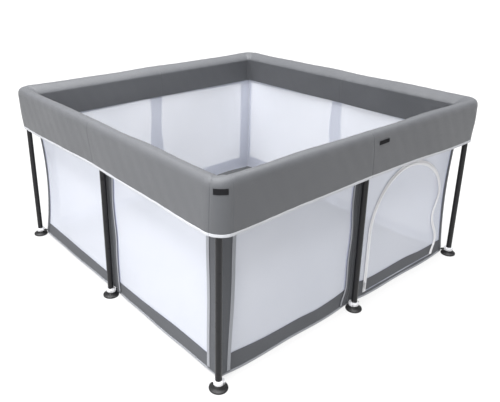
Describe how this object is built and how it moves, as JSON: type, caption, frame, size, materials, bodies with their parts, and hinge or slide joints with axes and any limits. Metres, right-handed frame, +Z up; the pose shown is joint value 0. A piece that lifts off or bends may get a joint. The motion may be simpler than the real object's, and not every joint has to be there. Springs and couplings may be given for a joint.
{
  "type": "playpen",
  "caption": "Square folding playpen: tube posts and folding top rails under a padded fabric band, mesh walls, a fabric floor, and a zipped arched door.",
  "frame": {"origin": "on the ground at the middle of the pen", "axes": "+Z up, -Y to the front, whose right half has the door, +X to the right seen from the front"},
  "size_m": [1.264, 1.2649, 0.645],
  "materials": {
    "coated_tube": "dark grey powder coat, semi-gloss",
    "hub_plastic": "black moulded plastic, matt",
    "foot_rubber": "black rubber, slightly shiny",
    "band_fabric": "grey woven polyester over thin foam",
    "wall_mesh": "fine white polyester mesh, half see-through",
    "floor_fabric": "grey woven polyester",
    "light_binding": "pale grey piping and zip tape",
    "white_plastic": "white moulded plastic",
    "black_webbing": "black webbing and plain woven tabs"
  },
  "bodies": {
    "front_mid": {"front_mid_post": "coated_tube", "front_mid_foot": "foot_rubber", "front_mid_hub": "hub_plastic", "front_band": "band_fabric", "front_wall": "wall_mesh", "zip_tape_wall": "light_binding", "side_label": "black_webbing"},
    "front_right": {"front_right_post": "coated_tube", "front_right_foot": "foot_rubber", "front_right_hub": "hub_plastic"},
    "right_mid": {"right_mid_post": "coated_tube", "right_mid_foot": "foot_rubber", "right_mid_hub": "hub_plastic", "right_band": "band_fabric", "right_wall": "wall_mesh"},
    "back_right": {"back_right_post": "coated_tube", "back_right_foot": "foot_rubber", "back_right_hub": "hub_plastic"},
    "back_mid": {"back_mid_post": "coated_tube", "back_mid_foot": "foot_rubber", "back_mid_hub": "hub_plastic", "back_band": "band_fabric", "back_wall": "wall_mesh"},
    "back_left": {"back_left_post": "coated_tube", "back_left_foot": "foot_rubber", "back_left_hub": "hub_plastic"},
    "left_mid": {"left_mid_post": "coated_tube", "left_mid_foot": "foot_rubber", "left_mid_hub": "hub_plastic", "left_band": "band_fabric", "left_wall": "wall_mesh"},
    "front_left": {"front_left_post": "coated_tube", "front_left_foot": "foot_rubber", "front_left_hub": "hub_plastic", "corner_label": "black_webbing"},
    "front_right_rail_corner": {"front_right_rail_corner_half": "coated_tube"},
    "front_right_rail_mid": {"front_right_rail_mid_half": "coated_tube"},
    "right_front_rail_corner": {"right_front_rail_corner_half": "coated_tube"},
    "right_front_rail_mid": {"right_front_rail_mid_half": "coated_tube"},
    "right_back_rail_corner": {"right_back_rail_corner_half": "coated_tube"},
    "right_back_rail_mid": {"right_back_rail_mid_half": "coated_tube"},
    "back_right_rail_corner": {"back_right_rail_corner_half": "coated_tube"},
    "back_right_rail_mid": {"back_right_rail_mid_half": "coated_tube"},
    "back_left_rail_corner": {"back_left_rail_corner_half": "coated_tube"},
    "back_left_rail_mid": {"back_left_rail_mid_half": "coated_tube"},
    "left_back_rail_corner": {"left_back_rail_corner_half": "coated_tube"},
    "left_back_rail_mid": {"left_back_rail_mid_half": "coated_tube"},
    "left_front_rail_corner": {"left_front_rail_corner_half": "coated_tube"},
    "left_front_rail_mid": {"left_front_rail_mid_half": "coated_tube"},
    "front_left_rail_corner": {"front_left_rail_corner_half": "coated_tube"},
    "front_left_rail_mid": {"front_left_rail_mid_half": "coated_tube"},
    "floor_left_outer": {"floor_panel_left_outer": "floor_fabric"},
    "floor_left_inner": {"floor_panel_left_inner": "floor_fabric"},
    "floor_right_inner": {"floor_panel_right_inner": "floor_fabric"},
    "floor_right_outer": {"floor_panel_right_outer": "floor_fabric"},
    "door": {"door_flap": "wall_mesh", "zip_tape_door": "light_binding"},
    "zip_slider": {"zip_slider": "white_plastic"},
    "zip_pull": {"zip_pull": "white_plastic"}
  },
  "joints": [
    {"name": "fold", "type": "hinge", "parent": "front_mid", "child": "front_right_rail_mid", "pos_m": [0.032, -0.6, 0.614], "axis": [0, 1, 0], "range_deg": [0, 87], "deforming": ["front_band", "front_wall", "right_band", "right_wall", "back_band", "back_wall", "left_band", "left_wall", "floor_panel_left_outer", "floor_panel_left_inner", "floor_panel_right_inner", "floor_panel_right_outer", "door_flap", "zip_tape_wall", "zip_tape_door", "side_label", "corner_label"]},
    {"name": "front_right_knee", "type": "hinge", "parent": "front_right_rail_mid", "child": "front_right_rail_corner", "pos_m": [0.3, -0.6, 0.625], "axis": [0, 1, 0], "range_deg": [-174, 0]},
    {"name": "front_right_front_right_pivot", "type": "hinge", "parent": "front_right_rail_corner", "child": "front_right", "pos_m": [0.568, -0.6, 0.614], "axis": [0, 1, 0], "range_deg": [0, 87]},
    {"name": "right_front_front_right_pivot", "type": "hinge", "parent": "front_right", "child": "right_front_rail_corner", "pos_m": [0.6, -0.568, 0.614], "axis": [-1, 0, 0], "range_deg": [0, 87]},
    {"name": "right_front_knee", "type": "hinge", "parent": "right_front_rail_corner", "child": "right_front_rail_mid", "pos_m": [0.6, -0.3, 0.625], "axis": [-1, 0, 0], "range_deg": [-174, 0]},
    {"name": "right_front_right_mid_pivot", "type": "hinge", "parent": "right_front_rail_mid", "child": "right_mid", "pos_m": [0.6, -0.032, 0.614], "axis": [-1, 0, 0], "range_deg": [0, 87]},
    {"name": "right_back_right_mid_pivot", "type": "hinge", "parent": "right_mid", "child": "right_back_rail_mid", "pos_m": [0.6, 0.032, 0.614], "axis": [-1, 0, 0], "range_deg": [0, 87]},
    {"name": "right_back_knee", "type": "hinge", "parent": "right_back_rail_mid", "child": "right_back_rail_corner", "pos_m": [0.6, 0.3, 0.625], "axis": [-1, 0, 0], "range_deg": [-174, 0]},
    {"name": "right_back_back_right_pivot", "type": "hinge", "parent": "right_back_rail_corner", "child": "back_right", "pos_m": [0.6, 0.568, 0.614], "axis": [-1, 0, 0], "range_deg": [0, 87]},
    {"name": "back_right_back_right_pivot", "type": "hinge", "parent": "back_right", "child": "back_right_rail_corner", "pos_m": [0.568, 0.6, 0.614], "axis": [0, -1, 0], "range_deg": [0, 87]},
    {"name": "back_right_knee", "type": "hinge", "parent": "back_right_rail_corner", "child": "back_right_rail_mid", "pos_m": [0.3, 0.6, 0.625], "axis": [0, -1, 0], "range_deg": [-174, 0]},
    {"name": "back_right_back_mid_pivot", "type": "hinge", "parent": "back_right_rail_mid", "child": "back_mid", "pos_m": [0.032, 0.6, 0.614], "axis": [0, -1, 0], "range_deg": [0, 87]},
    {"name": "front_left_front_mid_pivot", "type": "hinge", "parent": "front_mid", "child": "front_left_rail_mid", "pos_m": [-0.032, -0.6, 0.614], "axis": [0, -1, 0], "range_deg": [0, 87]},
    {"name": "front_left_knee", "type": "hinge", "parent": "front_left_rail_mid", "child": "front_left_rail_corner", "pos_m": [-0.3, -0.6, 0.625], "axis": [0, -1, 0], "range_deg": [-174, 0]},
    {"name": "front_left_front_left_pivot", "type": "hinge", "parent": "front_left_rail_corner", "child": "front_left", "pos_m": [-0.568, -0.6, 0.614], "axis": [0, -1, 0], "range_deg": [0, 87]},
    {"name": "left_front_front_left_pivot", "type": "hinge", "parent": "front_left", "child": "left_front_rail_corner", "pos_m": [-0.6, -0.568, 0.614], "axis": [-1, 0, 0], "range_deg": [0, 87]},
    {"name": "left_front_knee", "type": "hinge", "parent": "left_front_rail_corner", "child": "left_front_rail_mid", "pos_m": [-0.6, -0.3, 0.625], "axis": [-1, 0, 0], "range_deg": [-174, 0]},
    {"name": "left_front_left_mid_pivot", "type": "hinge", "parent": "left_front_rail_mid", "child": "left_mid", "pos_m": [-0.6, -0.032, 0.614], "axis": [-1, 0, 0], "range_deg": [0, 87]},
    {"name": "left_back_left_mid_pivot", "type": "hinge", "parent": "left_mid", "child": "left_back_rail_mid", "pos_m": [-0.6, 0.032, 0.614], "axis": [-1, 0, 0], "range_deg": [0, 87]},
    {"name": "left_back_knee", "type": "hinge", "parent": "left_back_rail_mid", "child": "left_back_rail_corner", "pos_m": [-0.6, 0.3, 0.625], "axis": [-1, 0, 0], "range_deg": [-174, 0]},
    {"name": "left_back_back_left_pivot", "type": "hinge", "parent": "left_back_rail_corner", "child": "back_left", "pos_m": [-0.6, 0.568, 0.614], "axis": [-1, 0, 0], "range_deg": [0, 87]},
    {"name": "back_left_back_mid_pivot", "type": "hinge", "parent": "back_mid", "child": "back_left_rail_mid", "pos_m": [-0.032, 0.6, 0.614], "axis": [0, -1, 0], "range_deg": [0, 87]},
    {"name": "back_left_back_left_pivot", "type": "hinge", "parent": "back_left", "child": "back_left_rail_corner", "pos_m": [-0.568, 0.6, 0.614], "axis": [0, 1, 0], "range_deg": [0, 87]},
    {"name": "floor_left_edge", "type": "hinge", "parent": "left_mid", "child": "floor_left_outer", "pos_m": [-0.571, 0, 0.0095], "axis": [0, -1, 0], "range_deg": [0, 82]},
    {"name": "floor_left_crease", "type": "hinge", "parent": "floor_left_outer", "child": "floor_left_inner", "pos_m": [-0.2855, 0, 0.0095], "axis": [0, -1, 0], "range_deg": [-164, 0]},
    {"name": "floor_right_edge", "type": "hinge", "parent": "right_mid", "child": "floor_right_outer", "pos_m": [0.571, 0, 0.0095], "axis": [0, 1, 0], "range_deg": [0, 82]},
    {"name": "floor_right_crease", "type": "hinge", "parent": "floor_right_outer", "child": "floor_right_inner", "pos_m": [0.2855, 0, 0.0095], "axis": [0, 1, 0], "range_deg": [-164, 0]},
    {"name": "door_swing", "type": "hinge", "parent": "front_mid", "child": "door", "pos_m": [0.29, -0.5769, 0.0245], "axis": [1, 0, 0], "range_deg": [0, 92]},
    {"name": "zip_travel", "type": "slide", "parent": "front_mid", "child": "zip_slider", "axis": [0, 0, 1], "range_m": [0, 0.175]},
    {"name": "zip_pull_swing", "type": "hinge", "parent": "zip_slider", "child": "zip_pull", "pos_m": [0.076, -0.5847, 0.0635], "axis": [-1, 0, 0], "range_deg": [0, 165]}
  ],
  "couplings": [
    {"joint": "front_right_knee", "follows": "fold", "ratio": -2},
    {"joint": "front_right_front_right_pivot", "follows": "fold", "ratio": 1},
    {"joint": "right_front_front_right_pivot", "follows": "fold", "ratio": 1},
    {"joint": "right_front_knee", "follows": "fold", "ratio": -2},
    {"joint": "right_front_right_mid_pivot", "follows": "fold", "ratio": 1},
    {"joint": "right_back_right_mid_pivot", "follows": "fold", "ratio": 1},
    {"joint": "right_back_knee", "follows": "fold", "ratio": -2},
    {"joint": "right_back_back_right_pivot", "follows": "fold", "ratio": 1},
    {"joint": "back_right_back_right_pivot", "follows": "fold", "ratio": 1},
    {"joint": "back_right_knee", "follows": "fold", "ratio": -2},
    {"joint": "back_right_back_mid_pivot", "follows": "fold", "ratio": 1},
    {"joint": "front_left_front_mid_pivot", "follows": "fold", "ratio": 1},
    {"joint": "front_left_knee", "follows": "fold", "ratio": -2},
    {"joint": "front_left_front_left_pivot", "follows": "fold", "ratio": 1},
    {"joint": "left_front_front_left_pivot", "follows": "fold", "ratio": 1},
    {"joint": "left_front_knee", "follows": "fold", "ratio": -2},
    {"joint": "left_front_left_mid_pivot", "follows": "fold", "ratio": 1},
    {"joint": "left_back_left_mid_pivot", "follows": "fold", "ratio": 1},
    {"joint": "left_back_knee", "follows": "fold", "ratio": -2},
    {"joint": "left_back_back_left_pivot", "follows": "fold", "ratio": 1},
    {"joint": "back_left_back_mid_pivot", "follows": "fold", "ratio": 1},
    {"joint": "back_left_back_left_pivot", "follows": "fold", "ratio": 1},
    {"joint": "floor_left_edge", "follows": "fold", "ratio": 0.94253},
    {"joint": "floor_left_crease", "follows": "fold", "ratio": -1.8851},
    {"joint": "floor_right_edge", "follows": "fold", "ratio": 0.94253},
    {"joint": "floor_right_crease", "follows": "fold", "ratio": -1.8851}
  ]
}
